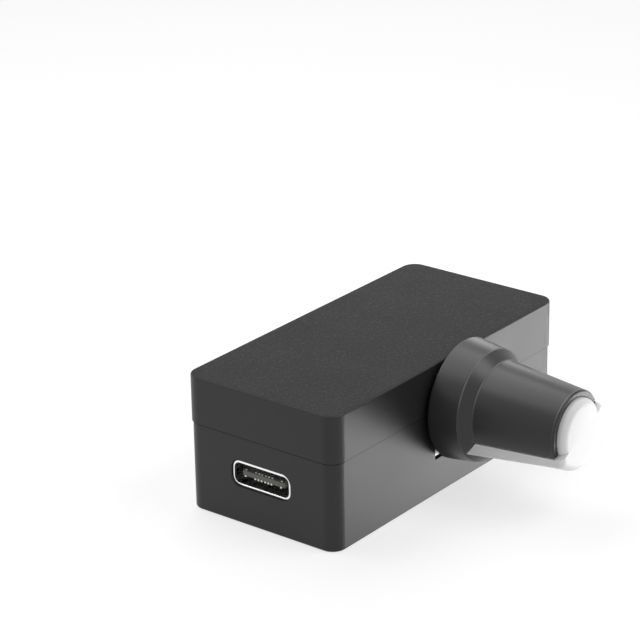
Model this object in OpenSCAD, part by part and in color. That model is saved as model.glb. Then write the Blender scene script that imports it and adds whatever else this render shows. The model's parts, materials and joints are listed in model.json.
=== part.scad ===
// PC fan controller hub: a two-shell case with a USB-C socket at one end, a four-pin fan
// header at the other and a skirted knob on a potentiometer at the front.
// X runs along the case, the knob is on the -Y face, and the origin is the centre of the underside.

/* [Case] */
// Length of the case
case_l = 46.8; // [45:0.2:60]
// Width of the case
case_w = 23; // [22.4:0.2:30]
// Height of the closed case
case_h = 17.8; // [17.8:0.2:24]
// Thickness of the side walls
wall = 1.6; // [1.4:0.1:1.8]
// Thickness of the floor and the ceiling
panel_t = 1.4; // [1.2:0.1:1.4]
// Radius of the upright corners
corner_r = 2; // [1.6:0.1:3]
// Round along the top and bottom edges
edge_r = 0.25; // [0.15:0.05:0.5]
// How far the lower shell stands in from the upper shell
shell_step = 0.15; // [0.05:0.05:0.25]
// Height of the groove along the parting line
groove_h = 0.15; // [0.1:0.05:0.3]
// Depth of the groove along the parting line
groove_d = 0.4; // [0.3:0.05:0.5]
// Height of the tongue that locates the upper shell
tongue_h = 1.2; // [0.8:0.1:1.6]
// Thickness of the tongue
tongue_t = 0.6; // [0.5:0.05:0.7]
// Gap round the tongue
tongue_gap = 0.1; // [0.05:0.05:0.2]

/* [Fixing] */
// Radius of the pillars that take the screws
pillar_r = 1.9; // [1.8:0.1:2.1]
// Radius of the bosses under the pillars
boss_r = 2.8; // [2.6:0.1:3]
// Gap between a pillar and the walls
pillar_gap = 0.15; // [0.1:0.05:0.3]
// Radius of a screw's shank
screw_r = 1; // [0.8:0.05:1.1]
// Length of a screw's shank
screw_l = 7; // [5:0.5:9]
// Radius of a screw's head
screw_head_r = 1.9; // [1.7:0.05:2]
// Height of a screw's head
screw_head_h = 1.2; // [1:0.1:1.4]
// Depth of the head's seat above the underside
screw_seat = 1.8; // [1.6:0.1:2.2]
// Gap round the screws in the lower shell
screw_gap = 0.15; // [0.1:0.05:0.25]

/* [Circuit board] */
// Thickness of the board
board_t = 1.6; // [1.2:0.1:1.8]
// Height of the ribs that carry the board
rib_h = 2; // [1.8:0.1:2.2]
// Thickness of the ribs
rib_t = 1.2; // [0.8:0.1:1.6]
// Gap between the board and the walls
board_gap = 0.25; // [0.15:0.05:0.4]
// Radius of the posts that hold the board down
post_r = 1; // [0.8:0.1:1.4]

/* [USB-C socket] */
// Width of the metal shell
usb_w = 8.94; // [8.9:0.02:9]
// Height of the metal shell
usb_h = 3.26; // [3.2:0.02:3.3]
// Thickness of the metal shell
usb_t = 0.3; // [0.2:0.02:0.3]
// Depth of the socket
usb_l = 7.35; // [7:0.05:9]
// Sideways place of the socket, towards the knob
usb_shift = 0; // [0:0.1:0.5]
// How far the mouth lies behind the end wall's face
usb_recess = 0.3; // [0:0.05:0.5]
// Gap between the socket and its cut-out
usb_gap = 0.15; // [0.1:0.05:0.3]
// Width of the tongue
usb_tongue_w = 6.69; // [6.6:0.01:6.7]
// Thickness of the tongue
usb_tongue_t = 0.7; // [0.6:0.02:0.8]
// How far the tongue's tip lies behind the mouth
usb_tongue_recess = 0.35; // [0.3:0.05:1]
// Depth of the insulator behind the tongue
usb_back_l = 2.2; // [1.8:0.1:3]

/* [Fan header] */
// Spacing of the pins
pin_pitch = 2.54; // [2.5:0.01:2.54]
// Side of a square pin
pin_w = 0.64; // [0.6:0.01:0.66]
// Length of the pins in front of the body
pin_l = 7.6; // [6.5:0.1:8]
// How far the pin tips lie behind the end wall's face
pin_recess = 0.5; // [0.2:0.1:1]
// Height of the pins above the board
pin_rise = 4; // [3.8:0.1:4.2]
// Depth of the header's body
header_t = 3.2; // [2.8:0.1:3.4]
// Height from the pins to the top of the locking tab
lock_rise = 3.6; // [3.5:0.1:3.8]
// Thickness of the locking tab
lock_t = 1; // [0.8:0.1:1.1]
// Length of the locking tab in front of the body
lock_l = 6.8; // [5.5:0.1:7]
// Room round the plug in the end wall's window
plug_gap = 0.6; // [0.3:0.05:0.8]

/* [Potentiometer] */
// Place of the knob's axis along the case
axis_x = 2; // [0:0.1:4]
// Height of the shaft above the board
pot_rise = 6.6; // [6.5:0.05:6.7]
// Width of the potentiometer over its side tabs
pot_w = 9.7; // [9.6:0.05:10]
// Height of the potentiometer above its shaft
pot_top = 4.6; // [4.5:0.05:4.7]
// Depth of the plastic housing
pot_l = 6; // [5.8:0.1:7]
// Thickness of the front plate
plate_t = 0.5; // [0.3:0.05:0.6]
// How far the front plate lies behind the case's face
plate_recess = 0.7; // [0.4:0.05:1]
// Gap between the potentiometer and its window
window_gap = 0.2; // [0.1:0.05:0.3]
// Radius of the threaded bushing
bushing_r = 3.5; // [3.4:0.05:3.7]
// Length of the bushing in front of the plate
bushing_l = 5; // [4.5:0.1:5.2]
// Radius of the shaft
shaft_r = 3; // [2.9:0.01:3]
// Distance from the shaft's axis to its flat
shaft_flat = 1.5; // [1.3:0.05:1.8]
// Length of the shaft in front of the plate
shaft_l = 15; // [13.5:0.1:15.5]
// Length of the shaft's flat
flat_l = 9; // [7:0.1:9.4]
// Running clearance of the shaft in the bushing
shaft_play = 0.05; // [0.02:0.01:0.08]
// Whole turn of the shaft in degrees
pot_travel = 300; // [270:5:310]

/* [Knob] */
// Gap between the knob and the case
knob_gap = 0.6; // [0.4:0.05:1]
// Radius of the skirt's rear edge
skirt_r = 7.75; // [7.6:0.05:8.5]
// Radius of the skirt's front edge
skirt_front_r = 7.2; // [7:0.05:7.5]
// Length of the skirt
skirt_l = 4; // [3.8:0.1:4.4]
// Thickness of the skirt
skirt_t = 1.1; // [0.9:0.05:1.2]
// Length of the bevel in front of the skirt
bevel_l = 1.4; // [1.2:0.1:2]
// Radius of the grip at the bevel
grip_r = 6.05; // [5.9:0.05:6.3]
// Radius of the grip at its end
tip_r = 4.95; // [4.8:0.05:5.2]
// Length of the grip
grip_l = 11; // [10.4:0.1:14]
// Thickness of the dark shell round the pale core
knob_shell_t = 0.9; // [0.7:0.05:1]
// Width of the groove between the dark shell and the pale core
split_gap = 0.15; // [0.1:0.05:0.25]
// How far the pale core stands out of the dark shell
core_proud = 1; // [0.6:0.05:1.4]
// Round of the core's end
core_round = 0.8; // [0.4:0.05:0.9]
// Direction of the pale half from +X towards +Z in degrees, at rest
pointer_turn = 296; // [280:1:300]
// Half of the angle that the pale half covers
pale_half = 88; // [80:1:92]
// Angle between the pointer and a finger ridge
ridge_turn = 77; // [72:1:78]
// Angle between the pointer and the foot of a ridge
ridge_foot = 51; // [45:1:56]
// Height of a finger ridge above the grip at the bevel
ridge_h = 0.8; // [0.6:0.05:0.9]
// Height of a finger ridge above the grip at its end
ridge_tip_h = 0.45; // [0.3:0.05:0.6]

/* [Hidden] */
$fn = 96;

// Overrun of a cut past the face that it opens
over = 1;
// Clearance between pieces that are moulded or pressed together
seat = 0.02;
case_grey = [0.23, 0.23, 0.235];
knob_grey = [0.2, 0.2, 0.205];
steel = [0.76, 0.77, 0.78];
gold = [0.85, 0.68, 0.35];
black = [0.08, 0.08, 0.08];

// Heights in the case
board_z = panel_t + rib_h;
board_top = board_z + board_t;
axis_z = board_top + pot_rise;
split_z = axis_z;
ceiling_z = case_h - panel_t;

// Inside of the case and outline of the board
room_l = case_l - 2 * wall;
room_w = case_w - 2 * wall;
room_r = max(corner_r - wall, 0.4);
board_l = room_l - 2 * board_gap;
board_w = room_w - 2 * board_gap;
front_y = -case_w / 2;
pillar_x = room_l / 2 - pillar_gap - pillar_r;
pillar_y = room_w / 2 - pillar_gap - pillar_r;
lower_end = case_l / 2 - shell_step;

// Socket and header
usb_z = board_top + usb_h / 2;
usb_mouth = -lower_end + usb_recess;
usb_rear = usb_mouth + usb_l;
usb_r = 1.2;
contact_slots = [0, 3, 4, 5, 6, 7, 8, 11];
contact_pitch = 0.5;
contact_w = 0.28;
contact_t = 0.12;
contact_foot = 0.8;
contact_tail_t = 0.15;
leg_w = 1;
leg_end = 0.5;
front_leg = 3;
rear_leg = 0.6;
leg_hole_gap = 0.15;
pin_z = board_top + pin_rise;
pin_tip = lower_end - pin_recess;
bend_l = 0.9;
header_front = pin_tip - pin_l;
header_rear = header_front - header_t;
tail_x = header_rear - bend_l;
tail_l = 1;
tail_gap = 0.2;
header_w = 4 * pin_pitch;
lock_w = 6.9;
hook_l = 1.5;
hook_h = 0.5;
window_rise = 0.3;
window_clear = 0.1;
window_w = header_w + 2 * plug_gap;
window_z = board_top + window_rise;
window_top = pin_z + lock_rise + window_clear;

// Potentiometer, measured from the case's front face
plate_z = -plate_recess - plate_t;
housing_rear = plate_z - pot_l;
tab_t = 0.4;
tab_l = 3.4;
tab_w = 6;
lug_end = 0.6;
housing_w = pot_w - 2 * tab_t;
housing_wall = 0.35;
cavity_r = min(pot_top, housing_w / 2) - housing_wall;
housing_floor = 0.7;
flange_t = 0.8;
flange_gap = 0.05;
rotor_gap = 0.1;
rotor_front = plate_z - flange_t - rotor_gap;
rotor_t = 2.2;
track_t = 0.4;
track_front = housing_rear + housing_floor + track_t;
stop_h = 0.9;
wiper_t = 0.2;
wiper_w = 1;
brush_w = 0.8;
brush_inset = 1.3;
stop_turn = 10;
stop_play = 1;
terminal_pitch = 2.5;
terminal_w = 0.9;
terminal_t = 0.3;
terminal_end = 0.8;
terminal_rise = 4;
pot_rear = front_y - housing_rear + terminal_t;

// Knob, measured from the case's front face
skirt_front = knob_gap + skirt_l;
grip_z = skirt_front + bevel_l;
grip_end = grip_z + grip_l;
core_end = grip_end + core_proud;
hub_gap = 0.5;
hub_z = -plate_recess + bushing_l + hub_gap;
grip_slope = (grip_r - tip_r) / grip_l;
bevel_slope = (skirt_front_r - grip_r) / bevel_l;
ridge_slope = (ridge_h - ridge_tip_h) / grip_l;

// Places of the parts on the board, each beside its neighbour
edge_gap = 0.6;
rear_y = board_w / 2 - edge_gap;
inductor_w = 4;
inductor_h = 3;
diode_l = 4.3;
diode_w = 2.6;
diode_h = 2.2;
out_cap_r = 3.15;
out_cap_h = 7.7;
in_cap_r = 2.5;
in_cap_h = 5.8;
fuse_l = 4.5;
fuse_w = 3.2;
fuse_h = 1;
control_l = 4.9;
control_w = 3.9;
control_h = 1.5;
control_pitch = 1.27;
control_span = 6;
boost_l = 2.9;
boost_w = 1.6;
boost_h = 1.1;
boost_pitch = 0.95;
boost_span = 2.8;
boost_gap = 0.6;
chip_l = 1.6;
chip_w = 0.8;
capacitor_h = 0.8;
resistor_h = 0.45;
chip_pitch = 2.4;
diode_foot = 1.2;
diode_reach = 0.4;
diode_lead_w = 1.4;
lead_w = 0.4;
lead_t = 0.15;
lead_rise = 0.1;
can_base_h = 0.8;
can_inset = 0.1;

// The rear row shares out the free length between the socket and the header's pins
rear_free = tail_x - pin_w / 2 - usb_rear - inductor_w - diode_w - 2 * out_cap_r - control_l;
rear_gap = rear_free / 5;
inductor_x = usb_rear + rear_gap + inductor_w / 2;
diode_x = inductor_x + (inductor_w + diode_w) / 2 + rear_gap;
out_cap_x = diode_x + diode_w / 2 + rear_gap + out_cap_r;
control_x = out_cap_x + out_cap_r + rear_gap + control_l / 2;

// The front row shares out the free length between the socket and the potentiometer
front_free = axis_x - pot_w / 2 - usb_rear - 2 * in_cap_r - fuse_w;
front_gap = front_free / 3;
in_cap_x = usb_rear + front_gap + in_cap_r;
fuse_x = in_cap_x + in_cap_r + front_gap + fuse_w / 2;
boost_x = usb_rear + contact_foot + boost_gap + boost_l / 2;

// Two rows of small chips in the strip between the potentiometer and the rear row
strip_gap = (rear_y - 2 * out_cap_r - pot_rear - 2 * chip_w) / 3;
resistor_y = pot_rear + strip_gap + chip_w / 2;
capacitor_y = resistor_y + chip_w + strip_gap;

// Radius of the grip's cone at a distance from the case's front face
function grip_at(z) = grip_r + grip_slope * (grip_z - z);

// Radius of the bore for the pale core at that distance
function bore_at(z) = grip_at(z) - knob_shell_t + seat;

// Radius of a finger ridge's crest at that distance
function crest_at(z) = grip_at(z) + ridge_h + ridge_slope * (grip_z - z);

// Point at a radius and an angle
function polar(r, a) = [r * cos(a), r * sin(a)];

// Upright section of a block whose top and bottom edges are round
module block_section(w, h, top_r, bottom_r) {
    translate([-w / 2, bottom_r])
        square([w, h - top_r - bottom_r]);
    if (top_r > 0) {
        translate([-w / 2 + top_r, h - 2 * top_r])
            square([w - 2 * top_r, 2 * top_r]);
        for (side = [-1, 1])
            translate([side * (w / 2 - top_r), h - top_r])
                circle(top_r);
    }
    if (bottom_r > 0) {
        translate([-w / 2 + bottom_r, 0])
            square([w - 2 * bottom_r, 2 * bottom_r]);
        for (side = [-1, 1])
            translate([side * (w / 2 - bottom_r), bottom_r])
                circle(bottom_r);
    }
}

// Block with round upright corners and, where asked, round top or bottom edges
module round_block(l, w, h, r, top_r = 0, bottom_r = 0) {
    rotate([90, 0, 90])
        linear_extrude(l - 2 * r, center = true)
            block_section(w, h, top_r, bottom_r);
    rotate([90, 0, 0])
        linear_extrude(w - 2 * r, center = true)
            block_section(l, h, top_r, bottom_r);
    for (x = [-1, 1], y = [-1, 1])
        translate([x * (l / 2 - r), y * (w / 2 - r), 0])
            rotate_extrude()
                intersection() {
                    block_section(2 * r, h, top_r, bottom_r);
                    square([r, h]);
                }
}

// Flat outline with round corners
module round_rect(w, h, r) {
    square([w - 2 * r, h], center = true);
    square([w, h - 2 * r], center = true);
    for (x = [-1, 1], y = [-1, 1])
        translate([x * (w / 2 - r), y * (h / 2 - r)])
            circle(r);
}

// Places its children at the four pillars
module at_pillars() {
    for (x = [-1, 1], y = [-1, 1])
        translate([x * pillar_x, y * pillar_y, 0])
            children();
}

// Turns its children so that +Z points out of the case's front along the knob's axis
module on_axis() {
    translate([axis_x, front_y, axis_z])
        rotate([90, 0, 0])
            children();
}

// Room for the potentiometer, which opens the front wall
module pot_room() {
    half = pot_w / 2 + window_gap;
    depth = pot_rear - front_y + window_gap;
    translate([axis_x - half, front_y - over, board_top - window_gap])
        cube([2 * half, depth + over, pot_rise + pot_top + 2 * window_gap]);
}

// Room for the socket and its legs, which opens the end wall
module usb_room() {
    translate([-case_l / 2 - over, -usb_shift, usb_z])
        rotate([90, 0, 90])
            linear_extrude(usb_rear + usb_gap + case_l / 2 + over)
                round_rect(usb_w + 2 * usb_gap, usb_h + 2 * usb_gap, usb_r + usb_gap);
    translate([usb_mouth + front_leg - usb_gap, -usb_shift - usb_w / 2 - usb_gap,
            board_z - leg_end - usb_gap])
        cube([usb_l - front_leg + 2 * usb_gap, usb_w + 2 * usb_gap, usb_z + leg_end - board_z]);
}

// Cuts through the end wall for the fan's plug
module plug_window() {
    translate([room_l / 2 - seat, -window_w / 2, window_z])
        cube([wall + over, window_w, window_top - window_z]);
}

// Ring on the lower shell that enters the upper one, grown by a gap on each side
module locating_ring(grow) {
    out_l = room_l + 2 * (tongue_t + grow);
    out_w = room_w + 2 * (tongue_t + grow);
    translate([0, 0, split_z - over])
        difference() {
            round_block(out_l, out_w, over + tongue_h + grow, room_r + tongue_t + grow);
            translate([0, 0, -over])
                round_block(room_l - 2 * grow, room_w - 2 * grow, tongue_h + 3 * over, room_r);
        }
}

module lower_shell() {
    rib_reach = 3;
    rib_x = case_l / 4;
    color(case_grey)
        difference() {
            union() {
                difference() {
                    round_block(2 * lower_end, case_w - 2 * shell_step, split_z, corner_r - shell_step,
                        0, edge_r);
                    translate([0, 0, panel_t])
                        round_block(room_l, room_w, case_h, room_r);
                }
                locating_ring(0);
                intersection() {
                    at_pillars()
                        cylinder(r = boss_r, h = board_z);
                    round_block(room_l + wall, room_w + wall, board_z, corner_r - wall / 2);
                }
                for (x = [-1, 1], y = [-1, 1])
                    translate([x * rib_x - rib_t / 2, y > 0 ? room_w / 2 - rib_reach : -room_w / 2, 0])
                        cube([rib_t, rib_reach, board_z]);
            }
            at_pillars() {
                translate([0, 0, -over])
                    cylinder(r = screw_head_r + screw_gap, h = screw_seat + over);
                cylinder(r = screw_r + screw_gap, h = board_z + over);
            }
            // Groove along the parting line
            difference() {
                translate([0, 0, split_z - groove_h])
                    round_block(case_l + over, case_w + over, groove_h + over, corner_r);
                translate([0, 0, split_z - over])
                    round_block(case_l - 2 * groove_d, case_w - 2 * groove_d, 4 * over, corner_r - groove_d);
            }
            pot_room();
            plug_window();
            usb_room();
        }
}

module upper_shell() {
    shell_h = case_h - split_z;
    tip_room = 0.5;
    color(case_grey)
        difference() {
            union() {
                difference() {
                    translate([0, 0, split_z])
                        round_block(case_l, case_w, shell_h, corner_r, edge_r, 0);
                    translate([0, 0, split_z - over])
                        round_block(room_l, room_w, ceiling_z - split_z + over, room_r);
                }
                at_pillars()
                    translate([0, 0, board_z])
                        cylinder(r = pillar_r, h = ceiling_z + seat - board_z);
                for (y = [-1, 1])
                    translate([header_front - header_t / 2, y * (board_w / 2 - edge_gap - post_r), board_top])
                        cylinder(r = post_r, h = ceiling_z + seat - board_top);
            }
            locating_ring(tongue_gap);
            at_pillars()
                translate([0, 0, board_z - over])
                    cylinder(r = screw_r + seat, h = screw_seat + screw_l + tip_room - board_z + over);
            pot_room();
            plug_window();
            usb_room();
        }
}

module case_screws() {
    cross_l = 2.2;
    cross_w = 0.45;
    color(steel)
        at_pillars() {
            difference() {
                translate([0, 0, screw_seat - screw_head_h])
                    cylinder(r = screw_head_r, h = screw_head_h);
                for (turn = [0, 90])
                    translate([0, 0, screw_seat - screw_head_h])
                        rotate([0, 0, turn])
                            cube([cross_l, cross_w, screw_head_h], center = true);
            }
            translate([0, 0, screw_seat - seat])
                cylinder(r = screw_r, h = screw_l + seat);
        }
}

module circuit_board() {
    board_r = 0.5;
    color([0.05, 0.3, 0.14])
        difference() {
            translate([0, 0, board_z])
                round_block(board_l, board_w, board_t, board_r);
            at_pillars() {
                translate([0, 0, board_z - over])
                    cylinder(r = pillar_r + board_gap, h = board_t + 2 * over);
            }
            for (x = [-1, 1], y = [-1, 1])
                translate([x * (pillar_x + board_l / 2), y * (pillar_y + board_w / 2), board_z + board_t / 2])
                    cube([board_l, board_w, board_t + over], center = true);
            header_tails(tail_gap);
            usb_legs(leg_hole_gap);
            pot_lugs(leg_hole_gap);
            pot_pins(leg_hole_gap);
        }
}

// Legs of the socket's shell, grown by a gap where they pass the board
module usb_legs(grow) {
    for (x = [usb_mouth + front_leg, usb_rear - leg_w - rear_leg], side = [-1, 1])
        translate([x - grow, -usb_shift + side * (usb_w - usb_t) / 2 - usb_t / 2 - grow, board_z - leg_end])
            cube([leg_w + 2 * grow, usb_t + 2 * grow, usb_z - board_z + leg_end]);
}

module usb_shell() {
    color(steel) {
        translate([usb_mouth, -usb_shift, usb_z])
            rotate([90, 0, 90])
                linear_extrude(usb_l)
                    difference() {
                        round_rect(usb_w, usb_h, usb_r);
                        round_rect(usb_w - 2 * usb_t, usb_h - 2 * usb_t, usb_r - usb_t);
                    }
        usb_legs(0);
    }
}

module usb_tongue() {
    tongue_l = usb_l - usb_tongue_recess - usb_back_l;
    tongue_r = 0.4;
    color(black) {
        translate([usb_rear - usb_back_l, -usb_shift, usb_z])
            rotate([90, 0, 90])
                linear_extrude(usb_back_l)
                    round_rect(usb_w - 2 * usb_t - 2 * seat, usb_h - 2 * usb_t - 2 * seat, usb_r - usb_t);
        translate([usb_mouth + usb_tongue_recess + tongue_r, -usb_shift, usb_z - usb_tongue_t / 2]) {
            translate([0, -usb_tongue_w / 2, 0])
                cube([tongue_l - tongue_r + seat, usb_tongue_w, usb_tongue_t]);
            translate([-tongue_r, tongue_r - usb_tongue_w / 2, 0])
                cube([2 * tongue_r, usb_tongue_w - 2 * tongue_r, usb_tongue_t]);
            for (side = [-1, 1])
                translate([0, side * (usb_tongue_w / 2 - tongue_r), 0])
                    cylinder(r = tongue_r, h = usb_tongue_t);
        }
    }
}

module usb_contacts() {
    strip_l = 3.8;
    strip_recess = 0.1;
    strip_x = usb_mouth + usb_tongue_recess + strip_recess;
    color(gold)
        for (slot = contact_slots) {
            y = -usb_shift + (slot - 5.5) * contact_pitch - contact_w / 2;
            translate([strip_x, y, usb_z + usb_tongue_t / 2])
                cube([strip_l, contact_w, contact_t]);
            translate([strip_x, y, usb_z - usb_tongue_t / 2 - contact_t])
                cube([strip_l, contact_w, contact_t]);
            // Tail that comes down the insulator's back to its pad
            translate([usb_rear, y, board_top])
                cube([contact_foot, contact_w, contact_tail_t]);
            translate([usb_rear, y, board_top])
                cube([contact_tail_t, contact_w, usb_h / 2]);
        }
}

// Tails of the header's pins, grown by a gap where they pass the board
module header_tails(grow) {
    tail_w = pin_w + 2 * grow;
    for (i = [-1.5:1:1.5])
        translate([tail_x - tail_w / 2, i * pin_pitch - tail_w / 2, board_z - tail_l])
            cube([tail_w, tail_w, pin_z + pin_w / 2 - board_z + tail_l]);
}

module fan_header_pins() {
    color(gold) {
        header_tails(0);
        for (i = [-1.5:1:1.5])
            translate([tail_x, i * pin_pitch - pin_w / 2, pin_z - pin_w / 2])
                cube([pin_tip - tail_x, pin_w, pin_w]);
    }
}

module fan_header_body() {
    color([0.85, 0.84, 0.8])
        difference() {
            union() {
                translate([header_rear, -header_w / 2, board_top])
                    cube([header_t, header_w, pin_rise + lock_rise]);
                // Locking tab with a hook at its end, over three of the four pins
                translate([header_front - seat, -header_w / 2, pin_z + lock_rise])
                    rotate([-90, 0, 0])
                        linear_extrude(lock_w)
                            polygon([[0, 0], [lock_l, 0], [lock_l, lock_t],
                                [lock_l - hook_l / 2, lock_t + hook_h], [lock_l - hook_l, lock_t + hook_h],
                                [lock_l - hook_l, lock_t], [0, lock_t]]);
            }
            for (i = [-1.5:1:1.5])
                translate([header_rear - over, i * pin_pitch - pin_w / 2 - seat, pin_z - pin_w / 2 - seat])
                    cube([header_t + 2 * over, pin_w + 2 * seat, pin_w + 2 * seat]);
        }
}

// Lugs of the front plate that snap into the board, grown by a gap there
module pot_lugs(grow) {
    lug_l = 1;
    lug_z = plate_z - tab_l + seat;
    for (side = [-1, 1])
        on_axis()
            translate([side * (pot_w - tab_t) / 2 - tab_t / 2 - grow, board_z - axis_z - lug_end,
                    lug_z - grow])
                cube([tab_t + 2 * grow, axis_z - board_z + lug_end - tab_w / 2 + seat, lug_l + 2 * grow]);
}

module pot_plate() {
    color(steel) {
        on_axis() {
            difference() {
                translate([-pot_w / 2, -pot_rise + seat, plate_z])
                    cube([pot_w, pot_rise + pot_top - seat, plate_t]);
                translate([0, 0, plate_z - over])
                    cylinder(r = bushing_r + seat, h = plate_t + 2 * over);
            }
            for (side = [-1, 1])
                translate([side * (pot_w - tab_t) / 2 - tab_t / 2, -tab_w / 2, plate_z - tab_l])
                    cube([tab_t, tab_w, tab_l + seat]);
        }
        pot_lugs(0);
    }
}

module pot_bushing() {
    color(steel)
        on_axis()
            difference() {
                union() {
                    translate([0, 0, plate_z])
                        cylinder(r = bushing_r, h = plate_t + bushing_l);
                    translate([0, 0, plate_z - flange_t])
                        cylinder(r = cavity_r - flange_gap, h = flange_t);
                }
                translate([0, 0, plate_z - flange_t - over])
                    cylinder(r = shaft_r + shaft_play, h = flange_t + plate_t + bushing_l + 2 * over);
            }
}

module pot_housing() {
    stop_half = (360 - pot_travel) / 2 - stop_turn - stop_play;
    color([0.12, 0.2, 0.32])
        on_axis() {
            difference() {
                translate([-housing_w / 2, -pot_rise, housing_rear])
                    cube([housing_w, pot_rise + pot_top, pot_l]);
                translate([0, 0, housing_rear + housing_floor])
                    cylinder(r = cavity_r, h = pot_l);
            }
            // Stop between the two ends of the rotor's travel
            rotate([0, 0, 270 - stop_half])
                translate([0, 0, rotor_front - rotor_t])
                    rotate_extrude(angle = 2 * stop_half)
                        translate([cavity_r - stop_h, 0])
                            square([stop_h + housing_wall / 2, rotor_t]);
        }
}

module pot_track() {
    color([0.25, 0.2, 0.12])
        on_axis()
            translate([0, 0, track_front - track_t])
                cylinder(r = cavity_r - flange_gap, h = track_t);
}

// Terminals of the potentiometer, grown by a gap where they pass the board
module pot_pins(grow) {
    for (i = [-1:1])
        on_axis()
            translate([i * terminal_pitch - terminal_w / 2 - grow, board_z - axis_z - terminal_end,
                    housing_rear - terminal_t - grow])
                cube([terminal_w + 2 * grow, board_t + terminal_end + terminal_rise, terminal_t + 2 * grow]);
}

module pot_terminals() {
    color(steel)
        pot_pins(0);
}

module pot_shaft() {
    color(steel)
        on_axis()
            difference() {
                translate([0, 0, rotor_front])
                    cylinder(r = shaft_r, h = shaft_l - plate_recess - rotor_front);
                rotate([0, 0, pointer_turn])
                    translate([shaft_flat, -shaft_r - over, shaft_l - plate_recess - flat_l])
                        cube([2 * shaft_r, 2 * (shaft_r + over), flat_l + over]);
            }
}

module pot_rotor() {
    stop_at = 270 + (360 - pot_travel) / 2;
    color([0.9, 0.88, 0.82])
        on_axis()
            translate([0, 0, rotor_front - rotor_t]) {
                cylinder(r = cavity_r - stop_h - rotor_gap, h = rotor_t);
                // Lug that meets the stop at each end of the travel
                rotate([0, 0, stop_at - stop_turn])
                    rotate_extrude(angle = 2 * stop_turn)
                        square([cavity_r - rotor_gap, rotor_t]);
            }
}

module pot_wiper() {
    wiper_rear = track_front + rotor_gap;
    brush_r = cavity_r - brush_inset;
    color(gold)
        on_axis()
            rotate([0, 0, pointer_turn]) {
                translate([0, 0, rotor_front - rotor_t - wiper_t])
                    cylinder(r = brush_r, h = wiper_t);
                translate([brush_r - brush_w - wiper_t, -wiper_w / 2, wiper_rear])
                    cube([brush_w, wiper_w, rotor_front - rotor_t - wiper_t - wiper_rear + seat]);
            }
}

module knob_body() {
    lip = 0.2;
    web = 0.8;
    open_half = pale_half + asin(split_gap / tip_r);
    color(knob_grey)
        on_axis()
            rotate([0, 0, pointer_turn])
                difference() {
                    rotate_extrude()
                        polygon([[skirt_r - skirt_t, knob_gap], [skirt_r, knob_gap],
                            [skirt_front_r, skirt_front], [grip_r, grip_z],
                            [grip_at(grip_end - lip), grip_end - lip], [tip_r - lip, grip_end],
                            [bore_at(grip_end) + split_gap, grip_end],
                            [bore_at(grip_end - split_gap), grip_end - split_gap],
                            [bore_at(skirt_front - web), skirt_front - web],
                            [skirt_front_r - skirt_t, skirt_front - web]]);
                    // The pale half of the grip
                    rotate([0, 0, -open_half])
                        rotate_extrude(angle = 2 * open_half)
                            translate([tip_r / 2, grip_z - seat])
                                square([grip_r, grip_l + over]);
                }
}

// Half section of the core, inset from the grip's cone
module core_section(inset, start_z) {
    end_r = grip_at(core_end - core_round) - inset;
    polygon([[0, start_z], [grip_at(start_z) - inset, start_z], [end_r, core_end - core_round],
        [end_r - core_round, core_end], [0, core_end]]);
    translate([end_r - core_round, core_end - core_round])
        circle(core_round);
}

// Slice of a finger ridge between the split and the ridge's foot
module ridge_slice(z, inset) {
    translate([0, 0, z])
        linear_extrude(seat)
            polygon([[0, 0], polar(0.9 * grip_at(z) - inset, pale_half + 4),
                polar(grip_at(z) - inset, pale_half), polar(crest_at(z) - inset, ridge_turn),
                polar(grip_at(z) - inset, ridge_foot)]);
}

// Finger ridges beside the splits, which run out on the bevel
module finger_ridges() {
    bevel_foot = skirt_front_r + over * bevel_slope;
    difference() {
        for (side = [0, 1])
            mirror([0, side, 0])
                hull() {
                    ridge_slice(skirt_front, 0);
                    ridge_slice(core_end - core_round, 0);
                    ridge_slice(core_end - 0.3 * core_round, 0.3 * core_round);
                    ridge_slice(core_end - 2 * seat, core_round);
                }
        rotate_extrude()
            polygon([[0, 0], [bevel_foot, 0], [bevel_foot, skirt_front - over + seat],
                [grip_r, grip_z + 2 * seat], [0, grip_z + 2 * seat]]);
    }
}

module knob_core() {
    flat_z = shaft_l - plate_recess - flat_l + seat;
    shaft_room = 0.3;
    bore_end = shaft_l - plate_recess + shaft_room;
    color([0.94, 0.94, 0.94])
        on_axis()
            rotate([0, 0, pointer_turn])
                difference() {
                    union() {
                        rotate_extrude() {
                            core_section(knob_shell_t + seat, hub_z);
                            core_section(0, grip_z + seat);
                        }
                        finger_ridges();
                    }
                    // Room for the dark half of the grip
                    rotate([0, 0, pale_half])
                        rotate_extrude(angle = 360 - 2 * pale_half)
                            difference() {
                                translate([tip_r / 2, grip_z])
                                    square([grip_r, core_end - grip_z + over]);
                                core_section(knob_shell_t, hub_z);
                            }
                    difference() {
                        translate([0, 0, hub_z - over])
                            cylinder(r = shaft_r + seat, h = bore_end - hub_z + over);
                        translate([shaft_flat + seat, -shaft_r - over, flat_z])
                            cube([2 * shaft_r, 2 * (shaft_r + over), flat_l + 2 * over]);
                    }
                }
}

// Moulded chip with a row of gull-wing leads along each long side
module leaded_chip(l, w, h, pitch, leads, span) {
    color(black)
        translate([-l / 2, -w / 2, board_top + lead_rise])
            cube([l, w, h - lead_rise]);
    color(steel)
        for (i = [0:leads - 1], side = [-1, 1]) {
            x = (i - (leads - 1) / 2) * pitch - lead_w / 2;
            translate([x, side > 0 ? w / 2 - seat : -span / 2, board_top])
                cube([lead_w, (span - w) / 2 + seat, lead_t]);
            translate([x, side > 0 ? w / 2 - seat : -w / 2 - lead_t, board_top])
                cube([lead_w, lead_t + seat, h / 2]);
        }
}

// Can capacitor on its square base
module can_capacitor(r, h) {
    color(black)
        translate([-r, -r, board_top])
            cube([2 * r, 2 * r, can_base_h]);
    color(steel)
        translate([0, 0, board_top + can_base_h - seat])
            cylinder(r = r - can_inset, h = h - can_base_h);
}

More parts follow.
